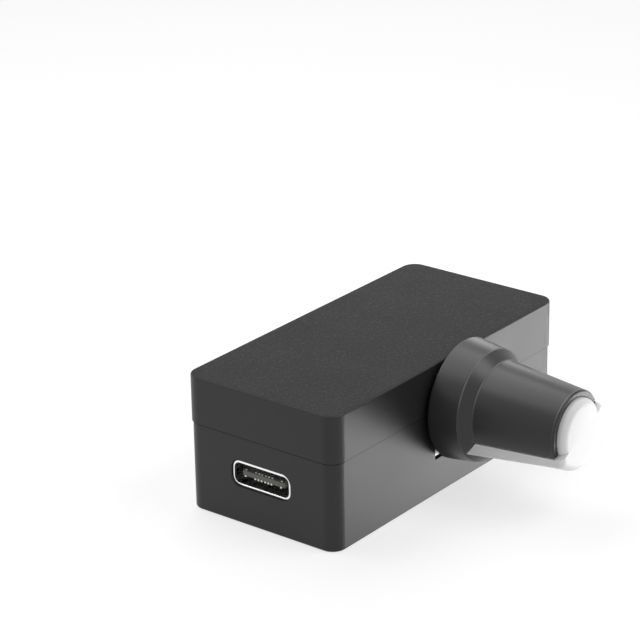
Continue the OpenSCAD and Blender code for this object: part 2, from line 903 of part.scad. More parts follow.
// Chip part with a metal cap at each end
module end_capped_chip(l, w, h, body) {
    cap = 0.2 * l;
    color(body)
        translate([-l / 2 + cap - seat, -w / 2 + seat, board_top + seat])
            cube([l - 2 * cap + 2 * seat, w - 2 * seat, h - 2 * seat]);
    color(steel)
        for (x = [-l / 2, l / 2 - cap])
            translate([x, -w / 2, board_top])
                cube([cap, w, h]);
}

module boost_inductor() {
    inductor_r = 0.6;
    color([0.2, 0.2, 0.2])
        translate([inductor_x, rear_y - inductor_w / 2, board_top])
            round_block(inductor_w, inductor_w, inductor_h, inductor_r);
}

module boost_chip() {
    translate([boost_x, -usb_shift, 0])
        leaded_chip(boost_l, boost_w, boost_h, boost_pitch, 3, boost_span);
}

module control_chip() {
    translate([control_x, rear_y - control_span / 2, 0])
        leaded_chip(control_l, control_w, control_h, control_pitch, 4, control_span);
}

module rectifier_diode() {
    color(black)
        translate([diode_x - diode_w / 2, rear_y - diode_reach - diode_l, board_top + lead_rise])
            cube([diode_w, diode_l, diode_h - lead_rise]);
    color(steel)
        for (y = [rear_y - diode_l - 2 * diode_reach, rear_y - diode_foot])
            translate([diode_x - diode_lead_w / 2, y, board_top])
                cube([diode_lead_w, diode_foot, lead_t]);
}

module input_capacitor() {
    translate([in_cap_x, -rear_y + in_cap_r, 0])
        can_capacitor(in_cap_r, in_cap_h);
}

module output_capacitor() {
    translate([out_cap_x, rear_y - out_cap_r, 0])
        can_capacitor(out_cap_r, out_cap_h);
}

module resettable_fuse() {
    translate([fuse_x, -rear_y + fuse_l / 2, 0])
        rotate([0, 0, 90])
            end_capped_chip(fuse_l, fuse_w, fuse_h, [0.1, 0.3, 0.25]);
}

module ceramic_capacitors() {
    for (i = [0:2])
        translate([diode_x + i * chip_pitch, capacitor_y, 0])
            end_capped_chip(chip_l, chip_w, capacitor_h, [0.62, 0.5, 0.36]);
}

module chip_resistors() {
    for (i = [0:3])
        translate([diode_x + i * chip_pitch, resistor_y, 0])
            end_capped_chip(chip_l, chip_w, resistor_h, black);
}

lower_shell();
upper_shell();
case_screws();
circuit_board();
usb_shell();
usb_tongue();
usb_contacts();
fan_header_body();
fan_header_pins();
pot_plate();
pot_bushing();
pot_housing();
pot_track();
pot_terminals();
pot_shaft();
pot_rotor();
pot_wiper();
knob_body();
knob_core();
boost_inductor();
boost_chip();
control_chip();
rectifier_diode();
input_capacitor();
output_capacitor();
resettable_fuse();
ceramic_capacitors();
chip_resistors();
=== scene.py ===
"""Looks of the fan controller hub: a dark two-shell case, its sockets and its skirted knob."""

import json
import math

import bmesh
import bpy
from mathutils import Matrix, Vector


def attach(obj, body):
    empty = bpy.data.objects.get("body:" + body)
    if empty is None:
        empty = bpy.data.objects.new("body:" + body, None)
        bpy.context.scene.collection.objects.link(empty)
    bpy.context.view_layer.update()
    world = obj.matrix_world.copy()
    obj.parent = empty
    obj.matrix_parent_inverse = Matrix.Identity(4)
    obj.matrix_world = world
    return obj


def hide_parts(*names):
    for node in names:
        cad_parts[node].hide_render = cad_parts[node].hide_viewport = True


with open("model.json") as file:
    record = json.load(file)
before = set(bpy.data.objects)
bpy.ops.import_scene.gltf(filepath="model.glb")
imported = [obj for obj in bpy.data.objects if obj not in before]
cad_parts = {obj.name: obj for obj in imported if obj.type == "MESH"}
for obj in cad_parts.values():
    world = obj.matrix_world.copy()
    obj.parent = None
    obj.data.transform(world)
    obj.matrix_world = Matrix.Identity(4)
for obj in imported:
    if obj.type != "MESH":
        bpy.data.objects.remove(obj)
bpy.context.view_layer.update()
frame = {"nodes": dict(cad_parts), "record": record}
nodes = frame["nodes"]

# The object's sizes and places are in millimetres, and MM turns them into metres
MM = 0.001

# Case and knob, as in the solids: the case's front face, and the axis that the knob turns on
FRONT_Y = -11.5
KNOB_X = 2.0
KNOB_Z = 11.6

# Camera, as fitted to the straight edges of the case
PICTURE_PX = 640
SENSOR_MM = 36.0
CAMERA_AZIMUTH = math.radians(-51.667)
CAMERA_ELEVATION = math.radians(22.137)
CAMERA_ROLL = math.radians(-0.995)
CAMERA_FOCAL_PX = 2580.675
CAMERA_DISTANCE = 329.213 * MM
CAMERA_SIDE_SHIFT = 7.233 * MM
CAMERA_UP_SHIFT = -18.299 * MM
CLIP_START_M = 0.01
CLIP_END_M = 10


def camera_axes():
    """Right, up and backward directions of the camera."""
    back = Vector((
        math.sin(CAMERA_AZIMUTH) * math.cos(CAMERA_ELEVATION),
        -math.cos(CAMERA_AZIMUTH) * math.cos(CAMERA_ELEVATION),
        math.sin(CAMERA_ELEVATION),
    ))
    right = Vector((0, 0, 1)).cross(back).normalized()
    up = back.cross(right)
    cos_roll, sin_roll = math.cos(CAMERA_ROLL), math.sin(CAMERA_ROLL)
    return right * cos_roll + up * sin_roll, up * cos_roll - right * sin_roll, back


def make_camera():
    """Camera at its fitted place, with its focal length and roll."""
    right, up, back = camera_axes()
    data = bpy.data.cameras.new("camera")
    data.sensor_width = SENSOR_MM
    data.sensor_fit = "HORIZONTAL"
    data.lens = CAMERA_FOCAL_PX / PICTURE_PX * SENSOR_MM
    data.clip_start = CLIP_START_M
    data.clip_end = CLIP_END_M
    camera = bpy.data.objects.new("camera", data)
    bpy.context.scene.collection.objects.link(camera)
    place = back * CAMERA_DISTANCE - right * CAMERA_SIDE_SHIFT - up * CAMERA_UP_SHIFT
    turn = Matrix((right, up, back)).transposed()
    camera.matrix_world = Matrix.Translation(place) @ turn.to_4x4()
    bpy.context.scene.camera = camera


make_camera()


# Shader nodes: each helper adds one node, and its inputs take values or links

def add(tree, kind, inputs=None, **settings):
    """Adds a shader node, sets its settings and fills its inputs."""
    node = tree.nodes.new(kind)
    for name, value in settings.items():
        setattr(node, name, value)
    for name, value in (inputs or {}).items():
        socket = node.inputs[name]
        if isinstance(value, bpy.types.NodeSocket):
            tree.links.new(value, socket)
        else:
            socket.default_value = value
    return node


def object_place(tree):
    """Coordinates that stay with the object."""
    return add(tree, "ShaderNodeTexCoord").outputs["Object"]


def calc(tree, operation, *values):
    """Result of arithmetic on one to three values."""
    return add(tree, "ShaderNodeMath", dict(enumerate(values)), operation=operation).outputs[0]


def ranged(tree, value, source, target=(0.0, 1.0), **settings):
    """Value carried from one range to another and held within it."""
    return add(tree, "ShaderNodeMapRange", {
        "Value": value, "From Min": source[0], "From Max": source[1],
        "To Min": target[0], "To Max": target[1]}, **settings).outputs[0]


def noise(tree, place, scale, detail, roughness=0.5):
    """Noise from 0 to 1, about 0.5 on average."""
    return add(tree, "ShaderNodeTexNoise", {
        "Vector": place, "Scale": scale, "Detail": detail, "Roughness": roughness}).outputs["Fac"]


def bump(tree, height, strength, distance, **under):
    """Normal that a height map tilts, on top of another normal if one is given."""
    return add(tree, "ShaderNodeBump", {
        "Height": height, "Strength": strength, "Distance": distance, **under}).outputs["Normal"]


def blend(tree, kind, share, first, second):
    """First value or colour going over into the second."""
    return add(tree, "ShaderNodeMix", {"Factor": share, "A": first, "B": second},
               data_type=kind).outputs["Result"]


def new_group(name, inputs, outputs):
    """Shader node group with named inputs and outputs, and the two ends inside it."""
    tree = bpy.data.node_groups.new(name, "ShaderNodeTree")
    for label, kind, default in inputs:
        socket = tree.interface.new_socket(label, in_out="INPUT", socket_type=kind)
        if default is not None:
            socket.default_value = default
    for label, kind in outputs:
        tree.interface.new_socket(label, in_out="OUTPUT", socket_type=kind)
    return tree, tree.nodes.new("NodeGroupInput").outputs, tree.nodes.new("NodeGroupOutput").inputs


NUMBER = "NodeSocketFloat"
COLOR = "NodeSocketColor"
DIRECTION = "NodeSocketVector"

# Fine grain of every moulded piece
NOISE_SPAN = (0.3, 0.7)
GRAIN_DEPTH = 0.05 * MM
GLOSS_PATCHES = 120.0
GLOSS_SWING = 0.02


def grain_group():
    """Moulded plastic: a fine spark-eroded bump, a slow change of gloss and a faint change of tone."""
    tree, start, end = new_group("moulded_grain", (
        ("Grain Size", NUMBER, 4000.0), ("Depth", NUMBER, 0.3), ("Tone", NUMBER, 0.04),
        ("Color", COLOR, (0.1, 0.1, 0.1, 1)), ("Roughness", NUMBER, 0.5),
    ), (("Color", COLOR), ("Roughness", NUMBER), ("Normal", DIRECTION)))
    place = object_place(tree)
    fine = noise(tree, place, start["Grain Size"], 2.0, 0.6)
    slow = noise(tree, place, GLOSS_PATCHES, 3.0)
    tone = ranged(tree, fine, NOISE_SPAN, (-1.0, 1.0))
    swing = calc(tree, "MULTIPLY_ADD", tone, start["Tone"], 1.0)
    color = add(tree, "ShaderNodeVectorMath", {0: start["Color"], "Scale": swing}, operation="SCALE")
    gloss = ranged(tree, slow, NOISE_SPAN, (-GLOSS_SWING, GLOSS_SWING))
    tree.links.new(color.outputs[0], end["Color"])
    tree.links.new(calc(tree, "ADD", start["Roughness"], gloss), end["Roughness"])
    tree.links.new(bump(tree, fine, start["Depth"], GRAIN_DEPTH), end["Normal"])
    return tree


# Coarser texture of the case's flat top and bottom. It starts and is full at these shares of a level
# surface, and the noise shows as specks between these two values.
LEVEL_SPAN = (0.7, 0.97)
SPECK_SPAN = (0.55, 0.65)
PIT_DEPTH = 0.06 * MM


def top_texture_group():
    """Coarser spark-eroded texture that the mould has only on its flat top and bottom."""
    tree, start, end = new_group("top_texture", (
        ("Grain Size", NUMBER, 3300.0), ("Depth", NUMBER, 1.0), ("Normal", DIRECTION, None),
    ), (("Mask", NUMBER), ("Speck", NUMBER), ("Normal", DIRECTION)))
    place = add(tree, "ShaderNodeTexCoord").outputs
    upright = add(tree, "ShaderNodeSeparateXYZ", {"Vector": place["Normal"]}).outputs["Z"]
    mask = ranged(tree, calc(tree, "ABSOLUTE", upright), LEVEL_SPAN)
    pits = noise(tree, place["Object"], start["Grain Size"], 3.0, 0.65)
    depth = calc(tree, "MULTIPLY", start["Depth"], mask)
    tree.links.new(mask, end["Mask"])
    tree.links.new(calc(tree, "MULTIPLY", ranged(tree, pits, SPECK_SPAN), mask), end["Speck"])
    tree.links.new(bump(tree, pits, depth, PIT_DEPTH, Normal=start["Normal"]), end["Normal"])
    return tree


# Painted highlight on the knob's turned edges, broken into patches like wear: its patches, and the heights
# between which it goes from hardly any to all, so that it lies mostly on the upper side where the light falls
HIGHLIGHT_PATCHES = 700.0
PATCH_SPAN = (0.35, 0.6)
PATCH_LOW = 0.4
LIT_SIDE_SPAN = (12.5 * MM, 15.5 * MM)
SHADED_SIDE_SHARE = 0.15


def painted_edge_highlight_group():
    """Painted highlight: a pale ring along a turned edge of the knob, patchy like wear and mostly on its
    upper side, where the light falls.
    """
    tree, start, end = new_group("painted_edge_highlight", (
        ("Edge", NUMBER, 0.0), ("Width", NUMBER, 0.1 * MM), ("Patchiness", NUMBER, 0.5),
    ), (("Highlight", NUMBER),))
    place = object_place(tree)
    axes = add(tree, "ShaderNodeSeparateXYZ", {"Vector": place}).outputs
    off = calc(tree, "ABSOLUTE", calc(tree, "SUBTRACT", axes["Y"], start["Edge"]))
    ring = ranged(tree, off, (0.0, start["Width"]), (1.0, 0.0), interpolation_type="SMOOTHSTEP")
    broken = ranged(tree, noise(tree, place, HIGHLIGHT_PATCHES, 3.0), PATCH_SPAN, (1.0, PATCH_LOW))
    keep = blend(tree, "FLOAT", start["Patchiness"], 1.0, broken)
    # The painted highlight fades out lower down, where less light falls on the edges
    lit_side = ranged(tree, axes["Z"], LIT_SIDE_SPAN, (SHADED_SIDE_SHARE, 1.0))
    tree.links.new(calc(tree, "MULTIPLY", calc(tree, "MULTIPLY", ring, keep), lit_side), end["Highlight"])
    return tree


GRAIN = grain_group()
TOP_TEXTURE = top_texture_group()
PAINTED_EDGE_HIGHLIGHT = painted_edge_highlight_group()


# Materials

def new_material(name):
    """Material with its node tree and its shader."""
    material = bpy.data.materials.new(name)
    material.use_nodes = True
    tree = material.node_tree
    return material, tree, tree.nodes["Principled BSDF"]


def moulded(name, color, roughness, grain_size=4000.0, depth=0.2, tone=0.03, specular=0.5):
    """Moulded plastic with a spark-eroded grain: its material, tree, shader and the grain's outputs."""
    material, tree, shader = new_material(name)
    grain = add(tree, "ShaderNodeGroup", node_tree=GRAIN)
    values = {"Grain Size": grain_size, "Depth": depth, "Tone": tone,
              "Color": (*color, 1), "Roughness": roughness}
    for label, value in values.items():
        grain.inputs[label].default_value = value
    tree.links.new(grain.outputs["Color"], shader.inputs["Base Color"])
    tree.links.new(grain.outputs["Roughness"], shader.inputs["Roughness"])
    tree.links.new(grain.outputs["Normal"], shader.inputs["Normal"])
    shader.inputs["Specular IOR Level"].default_value = specular
    return material, tree, shader, grain.outputs


def plastic(name, color, roughness, **grain):
    """Material of a plainly moulded piece."""
    return moulded(name, color, roughness, **grain)[0]


CASE_COLOR = (0.0135, 0.0135, 0.0138)
SPECK_COLOR = (0.033, 0.033, 0.0334, 1)
TOP_ROUGHER = 0.52


def textured_case():
    """Dark moulded plastic, satin on its sides and spark-eroded on its top and bottom."""
    material, tree, shader, grain = moulded(
        "case_plastic", CASE_COLOR, 0.38, grain_size=5000.0, depth=0.08, tone=0.04, specular=0.39)
    top = add(tree, "ShaderNodeGroup", node_tree=TOP_TEXTURE)
    tree.links.new(grain["Normal"], top.inputs["Normal"])
    tree.links.new(top.outputs["Normal"], shader.inputs["Normal"])
    rougher = calc(tree, "MULTIPLY_ADD", top.outputs["Mask"], TOP_ROUGHER, grain["Roughness"])
    tree.links.new(rougher, shader.inputs["Roughness"])
    paler = blend(tree, "RGBA", top.outputs["Speck"], grain["Color"], SPECK_COLOR)
    tree.links.new(paler, shader.inputs["Base Color"])
    return material


# The knob's edges that carry a painted highlight, as height above the case's front face and how far the pale
# ring reaches
KNOB_COLOR = (0.011, 0.011, 0.0113)
PAINTED_HIGHLIGHT_COLOR = (0.16, 0.16, 0.16, 1)
PAINTED_EDGE_HIGHLIGHTS = ((4.58, 0.13), (6.02, 0.12), (16.7, 0.1))


def highlighted_knob():
    """Satin dark plastic whose turned edges carry a painted highlight, a pale patchy ring."""
    material, tree, shader, grain = moulded(
        "knob_plastic", KNOB_COLOR, 0.36, grain_size=8000.0, depth=0.06, tone=0.02, specular=0.47)
    highlight = None
    for height, width in PAINTED_EDGE_HIGHLIGHTS:
        ring = add(tree, "ShaderNodeGroup", node_tree=PAINTED_EDGE_HIGHLIGHT)
        ring.inputs["Edge"].default_value = (FRONT_Y - height) * MM
        ring.inputs["Width"].default_value = width * MM
        ring_highlight = ring.outputs["Highlight"]
        highlight = calc(tree, "MAXIMUM", highlight, ring_highlight) if highlight else ring_highlight
    # Pale rings of painted highlight laid over the knob's own colour
    paler = blend(tree, "RGBA", highlight, grain["Color"], PAINTED_HIGHLIGHT_COLOR)
    tree.links.new(paler, shader.inputs["Base Color"])
    return material


METAL_GRAIN = 3000.0
METAL_DEPTH = 0.02 * MM
METAL_GLOSS_SPAN = (-0.05, 0.08)


def metal(name, color, roughness, depth=0.1):
    """Metal with a faint plated grain."""
    material, tree, shader = new_material(name)
    grain = noise(tree, object_place(tree), METAL_GRAIN, 3.0)
    low, high = METAL_GLOSS_SPAN
    gloss = ranged(tree, grain, (0.0, 1.0), (roughness + low, roughness + high))
    tree.links.new(gloss, shader.inputs["Roughness"])
    tree.links.new(bump(tree, grain, depth, METAL_DEPTH), shader.inputs["Normal"])
    shader.inputs["Base Color"].default_value = (*color, 1)
    shader.inputs["Metallic"].default_value = 1.0
    return material


MATERIALS = {
    "case_plastic": textured_case(),
    "knob_plastic": highlighted_knob(),
    "white_plastic": plastic("white_plastic", (0.87, 0.87, 0.87), 0.45,
                             grain_size=6000.0, depth=0.05, tone=0.01, specular=0.25),
    "black_plastic": plastic("black_plastic", (0.02, 0.02, 0.021), 0.5),
    "header_plastic": plastic("header_plastic", (0.7, 0.68, 0.62), 0.45),
    "pot_plastic": plastic("pot_plastic", (0.02, 0.05, 0.1), 0.45),
    "resin_board": plastic("resin_board", (0.12, 0.08, 0.04), 0.6),
    "ferrite": plastic("ferrite", (0.05, 0.05, 0.05), 0.7),
    "ceramic": plastic("ceramic", (0.36, 0.25, 0.14), 0.35),
    "board": plastic("board", (0.02, 0.12, 0.05), 0.3),
    "socket_steel": metal("socket_steel", (0.78, 0.78, 0.79), 0.22),
    "screw_steel": metal("screw_steel", (0.6, 0.6, 0.61), 0.3),
    "shaft_metal": metal("shaft_metal", (0.66, 0.66, 0.67), 0.28),
    "can_metal": metal("can_metal", (0.7, 0.7, 0.71), 0.3),
    "gold_plate": metal("gold_plate", (0.85, 0.65, 0.3), 0.25),
    "washer_zinc": metal("washer_zinc", (0.9, 0.9, 0.9), 0.5),
    # Painted shade: the dark strip in the parting groove stands for the groove's shadow line
    "painted_groove_shade": plastic("painted_groove_shade", (0.014, 0.014, 0.014), 0.8, tone=0.1, specular=0.05),
    "contact_plate": metal("contact_plate", (0.8, 0.77, 0.7), 0.3),
    "tongue_plastic": plastic("tongue_plastic", (0.13, 0.13, 0.115), 0.4,
                              grain_size=6000.0, depth=0.15, tone=0.15),
    "socket_rim": metal("socket_rim", (0.9, 0.9, 0.91), 0.12, depth=0.05),
}

for row in frame["record"]["subparts"]:
    mesh = nodes[row["node"]].data
    mesh.materials.clear()
    mesh.materials.append(MATERIALS[row["material_slot"]])


# Mesh tools

CORNER_SEGMENTS = 5
SPIN_STEP_DEG = 3
SHARP_DEG = 32
FINE_EDGE = 0.06
SEAM_MERGE = 0.002 * MM
UNION_MERGE = 0.001 * MM


def wire(build, places):
    """Closed wire through places in millimetres, as its corners and its edges."""
    corners = [build.verts.new([value * MM for value in place]) for place in places]
    return corners, [build.edges.new(pair) for pair in zip(corners, corners[1:] + corners[:1])]


def round_corners(build, corners, reach, segments):
    """Rounds corners of a wire or of a flat face, from that many millimetres off."""
    bmesh.ops.bevel(build, geom=corners, offset=reach * MM, offset_type="OFFSET", segments=segments,
                    profile=0.5, material=-1, affect="VERTICES")


def round_edges(build, edges, reach, segments, **settings):
    """Rounds edges, from that many millimetres off."""
    bmesh.ops.bevel(build, geom=edges, offset=reach * MM, offset_type="OFFSET", segments=segments,
                    profile=0.5, material=-1, affect="EDGES", **settings)


def soften(build, reach, angle=35.0, segments=3):
    """Rounds every edge that is sharper than an angle."""
    sharp = [edge for edge in build.edges if len(edge.link_faces) == 2
             and edge.calc_face_angle(0) > math.radians(angle)]
    round_edges(build, sharp, reach, segments, clamp_overlap=True)


def moved(build, place):
    """Moves the whole shape by a vector in millimetres."""
    bmesh.ops.translate(build, verts=build.verts, vec=Vector(place) * MM)


def quarter_turned(axis):
    """Quarter turn about an axis."""
    return Matrix.Rotation(math.radians(90), 4, axis)


def turned(profile, start=0.0, turn=360.0):
    """Shape of revolution of a profile of radius, height and, at a round corner, its reach."""
    build = bmesh.new()
    corners, _ = wire(build, [(point[0], 0, point[1]) for point in profile])
    for corner, point in zip(corners, profile):
        if len(point) > 2:
            round_corners(build, [corner], point[2], CORNER_SEGMENTS)
    bmesh.ops.rotate(build, verts=build.verts, cent=(0, 0, 0),
                     matrix=Matrix.Rotation(math.radians(start), 3, "Z"))
    full = turn == 360.0
    bmesh.ops.spin(build, geom=build.verts[:] + build.edges[:], cent=(0, 0, 0), axis=(0, 0, 1),
                   angle=math.radians(turn), steps=int(turn / SPIN_STEP_DEG), use_merge=full)
    bmesh.ops.remove_doubles(build, verts=build.verts, dist=SEAM_MERGE)
    if not full:
        close_ends(build)
    bmesh.ops.recalc_face_normals(build, faces=build.faces)
    return build


def close_ends(build):
    """Fills the open ends of a shape."""
    ends = [edge for edge in build.edges if edge.is_boundary]
    bmesh.ops.holes_fill(build, edges=ends, sides=0)


def pushed(build, vector):
    """Extrudes a flat shape into a closed block."""
    raised = bmesh.ops.extrude_face_region(build, geom=build.faces[:])
    top = [part for part in raised["geom"] if isinstance(part, bmesh.types.BMVert)]
    bmesh.ops.translate(build, verts=top, vec=Vector(vector) * MM)
    bmesh.ops.recalc_face_normals(build, faces=build.faces)


def block(size, corner, reach):
    """Box from its lowest corner, with softened edges."""
    build = bmesh.new()
    bmesh.ops.create_cube(build, size=1.0)
    bmesh.ops.scale(build, verts=build.verts, vec=Vector(size) * MM)
    moved(build, Vector(corner) + Vector(size) / 2)
    soften(build, reach, segments=2)
    return build


def joined(builds):
    """One mesh of several closed shapes."""
    whole = bmesh.new()
    for build in builds:
        part = bpy.data.meshes.new("part")
        build.to_mesh(part)
        build.free()
        whole.from_mesh(part)
        bpy.data.meshes.remove(part)
    return whole


def as_object(name, build):
    """Object in the scene that holds a shape."""
    mesh = bpy.data.meshes.new(name)
    build.to_mesh(mesh)
    build.free()
    obj = bpy.data.objects.new(name, mesh)
    bpy.context.scene.collection.objects.link(obj)
    return obj


def united(builds):
    """One closed shape of several that pass through each other."""
    tools = [as_object("shape", build) for build in builds]
    base = tools[0]
    for tool in tools[1:]:
        union = base.modifiers.new("union", "BOOLEAN")
        union.operation = "UNION"
        union.solver = "EXACT"
        union.object = tool
    shaped = bpy.data.meshes.new_from_object(base.evaluated_get(bpy.context.evaluated_depsgraph_get()))
    whole = bmesh.new()
    whole.from_mesh(shaped)
    bpy.data.meshes.remove(shaped)
    for tool in tools:
        bpy.data.meshes.remove(tool.data)
    bmesh.ops.remove_doubles(whole, verts=whole.verts, dist=UNION_MERGE)
    return whole


def piece(name, build, place, node, body, slot, finish=None):
    """Object at the origin that stands for a node, with its place in its mesh."""
    bmesh.ops.transform(build, matrix=place, verts=build.verts)
    for face in build.faces:
        face.smooth = True
    obj = as_object(name, build)
    obj.data.set_sharp_from_angle(angle=math.radians(SHARP_DEG))
    obj.data.materials.append(MATERIALS[finish or slot])
    even = obj.modifiers.new("even_shading", "WEIGHTED_NORMAL")
    even.keep_sharp = True
    if node:
        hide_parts(node)
    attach(obj, body)


# Knob: heights are measured from the case's front face, angles from the middle of its pale half

KNOB_TURN_DEG = 296
KNOB_PLACE = (Matrix.Translation(Vector((KNOB_X, FRONT_Y, KNOB_Z)) * MM) @ quarter_turned("X")
              @ Matrix.Rotation(math.radians(KNOB_TURN_DEG), 4, "Z"))
SHELL_WALL = 0.9
SHELL_GAP = 0.02
PALE_HALF = 88.0
SPLIT_GAP = 1.75
GRIP_FOOT = 6.0
GRIP_FOOT_R = 6.05
GRIP_TAPER = 0.1
GRIP_END = 17.0
CORE_FOOT = 5.3
CORE_END = 18.0
TIP_ROUND = 0.8
BORE_R = 3.02
BORE_END = 15.0

# Skirt with its bevel, seen as a ring's section: foot, outside, bevel, and the hollow inside
SKIRT = ((6.65, 0.6, 0.1), (7.75, 0.6, 0.15), (7.2, 4.6, 0.14), (GRIP_FOOT_R, GRIP_FOOT),
         (5.17, GRIP_FOOT), (5.39, 3.8), (6.09, 3.8))

# Finger ridge: where it starts, how far its crest stands over the grip and how that falls off, how deep
# its roots reach as shares of the radius, and the bearings of the crest's two edges and of the far foot
RIDGE_FOOT = 4.65
RIDGE_CREST = 0.8
RIDGE_TAPER = 0.0318
RIDGE_STEPS = 8
NEAR_ROOT = 0.7
FAR_ROOT = 0.6
CREST_DROP = 0.995
CREST_NEAR = 77
CREST_FAR = 75
RIDGE_FAR = 51


def grip_radius(height):
    """Radius of the tapered grip at a height."""
    return GRIP_FOOT_R + GRIP_TAPER * (GRIP_FOOT - height)


# Dark half of the grip, as a section too: its foot inside the skirt, its outside, and its thin end
GRIP = ((5.3, 5.0), (6.25, 5.77), (GRIP_FOOT_R, GRIP_FOOT, 0.16), (grip_radius(GRIP_END), GRIP_END, 0.25),
        (4.2, GRIP_END, 0.05), (4.07, GRIP_END - 0.15))
GRIP_EDGE = 0.07
GRIP_SHARP = 50.0


def dark_knob():
    """Skirt and bevel all round, and the dark half of the grip."""
    grip = turned(GRIP, PALE_HALF + SPLIT_GAP, 360 - 2 * (PALE_HALF + SPLIT_GAP))
    soften(grip, GRIP_EDGE, GRIP_SHARP)
    return joined([turned(SKIRT), grip])


def finger_ridge(side):
    """Raised wedge beside the split that a fingertip pushes on."""
    levels = [(RIDGE_FOOT, 0.0)]
    for step in range(RIDGE_STEPS):
        turn = math.radians(90 * step / (RIDGE_STEPS - 1))
        levels.append((CORE_END - TIP_ROUND + TIP_ROUND * math.sin(turn), TIP_ROUND * (1 - math.cos(turn))))
    build = bmesh.new()
    for height, inset in levels:
        foot = grip_radius(height) - inset
        crest = foot + RIDGE_CREST + RIDGE_TAPER * (GRIP_FOOT - height)
        section = ((NEAR_ROOT * foot, PALE_HALF), (foot, PALE_HALF), (crest, CREST_NEAR),
                   (CREST_DROP * crest, CREST_FAR), (foot, RIDGE_FAR), (FAR_ROOT * foot, RIDGE_FAR))
        for radius, angle in section:
            bearing = math.radians(side * angle)
            build.verts.new((radius * math.cos(bearing) * MM, radius * math.sin(bearing) * MM, height * MM))
    hull = bmesh.ops.convex_hull(build, input=build.verts)
    inside = {part for part in hull["geom_interior"] if isinstance(part, bmesh.types.BMVert)}
    bmesh.ops.delete(build, geom=list(inside), context="VERTS")
    bmesh.ops.dissolve_limit(build, angle_limit=math.radians(1), verts=build.verts, edges=build.edges)
    bmesh.ops.recalc_face_normals(build, faces=build.faces)
    return build


def pale_knob():
    """Core that fills the dark shell and comes out as the pale half of the grip and the tip."""
    tip_r = grip_radius(CORE_END - TIP_ROUND)
    foot_r = grip_radius(CORE_FOOT)
    half_foot = GRIP_FOOT + SHELL_GAP
    core = turned([(0, CORE_END), (tip_r - SHELL_WALL - SHELL_GAP, CORE_END, TIP_ROUND),
                   (foot_r - SHELL_WALL - SHELL_GAP, CORE_FOOT), (BORE_R, CORE_FOOT), (BORE_R, BORE_END),
                   (0, BORE_END)])
    half = turned([(0, CORE_END), (tip_r, CORE_END, TIP_ROUND), (grip_radius(half_foot), half_foot),
                   (0, half_foot)], -PALE_HALF, 2 * PALE_HALF)
    return united([core, half, finger_ridge(1), finger_ridge(-1)])


piece("knob_shell", dark_knob(), KNOB_PLACE, "knob_body", "knob", "knob_plastic")
piece("knob_pale_core", pale_knob(), KNOB_PLACE, "knob_core", "knob", "white_plastic")


# Socket: its mouth faces -X, and widths run along Y

MOUTH = -22.95
SOCKET_Z = 6.55
SOCKET_W = 9.02
SOCKET_H = 3.36
SOCKET_L = 7.35
SOCKET_T = 0.32
SOCKET_CORNER = 1.1
BORE_CORNER = 0.8
RIM_ROUND = 0.07
LEG_W = 1.0
LEG_FOOT = 2.9
LEG_SETBACKS = (3.0, SOCKET_L - 1.6)
LEG_EDGE = 0.05
TONGUE_W = 6.69
TONGUE_T = 0.7
TONGUE_CORNER = 0.4
TONGUE_TIP = MOUTH + 0.35
BACK_L = 2.2
BACK_GAP = 0.02
BACK_X = MOUTH + SOCKET_L - BACK_L

# Contacts stand as one, three, three and one in slots of one pitch, and their tails reach the board
CONTACT_SLOTS = (0, 3, 4, 5, 6.15, 7.15, 8.15, 11.2)
MIDDLE_SLOT = 5.6
CONTACT_PITCH = 0.49
STRIP_W = 0.26
STRIP_T = 0.12
UPPER_L = 3.7
UPPER_SETBACK = 0.15
LOWER_L = 3.9
NUB = (0.16, 0.22, 0.24)
NUB_REACH = 0.05
STRIP_EDGE = 0.03
NUB_EDGE = 0.05
TAIL_FOOT = 5.0
TAIL_L = 0.8
TAIL_RISE = 1.63
SOCKET_PLACE = Matrix.Translation((0, 0.07 * MM, 0))


def rounded_loop(build, width, height, rounding, segments=8):
    """Closed wire round a rectangle with round corners, in the plane across X."""
    before = set(build.edges)
    corners, _ = wire(build, [(0, y * width / 2, z * height / 2)
                              for y, z in ((-1, -1), (1, -1), (1, 1), (-1, 1))])
    round_corners(build, corners, rounding, segments)
    return [edge for edge in build.edges if edge not in before]


def socket_shell():
    """Drawn steel tube with a rolled mouth and four legs."""
    tube = bmesh.new()
    outer = rounded_loop(tube, SOCKET_W, SOCKET_H, SOCKET_CORNER)
    inner = rounded_loop(tube, SOCKET_W - 2 * SOCKET_T, SOCKET_H - 2 * SOCKET_T, BORE_CORNER)
    bmesh.ops.bridge_loops(tube, edges=outer + inner)
    pushed(tube, (SOCKET_L, 0, 0))
    rim = [edge for edge in tube.edges if all(abs(vert.co.x) < 0.01 * MM for vert in edge.verts)
           and edge.calc_face_angle(0) > 1]
    round_edges(tube, rim, RIM_ROUND, 3)
    moved(tube, (MOUTH, 0, SOCKET_Z))
    legs = [block((LEG_W, SOCKET_T, SOCKET_Z - LEG_FOOT), (MOUTH + setback, y, LEG_FOOT), LEG_EDGE)
            for setback in LEG_SETBACKS for y in (-SOCKET_W / 2, SOCKET_W / 2 - SOCKET_T)]
    return joined([tube] + legs)


def socket_tongue():
    """Moulded tongue with a rounded tip, and the block behind it that fills the shell."""
    tongue = bmesh.new()
    side, low = TONGUE_W / 2, SOCKET_Z - TONGUE_T / 2
    corners, _ = wire(tongue, [(x, y, low) for x, y in
                               ((TONGUE_TIP, -side), (BACK_X, -side), (BACK_X, side), (TONGUE_TIP, side))])
    tongue.faces.new(corners)
    round_corners(tongue, [corners[0], corners[3]], TONGUE_CORNER, 6)
    pushed(tongue, (0, 0, TONGUE_T))
    soften(tongue, FINE_EDGE)
    back = bmesh.new()
    within = 2 * SOCKET_T + BACK_GAP
    loop = rounded_loop(back, SOCKET_W - within, SOCKET_H - within, BORE_CORNER)
    bmesh.ops.edgeloop_fill(back, edges=loop)
    pushed(back, (BACK_L, 0, 0))
    moved(back, (BACK_X, 0, SOCKET_Z))
    return joined([tongue, back])


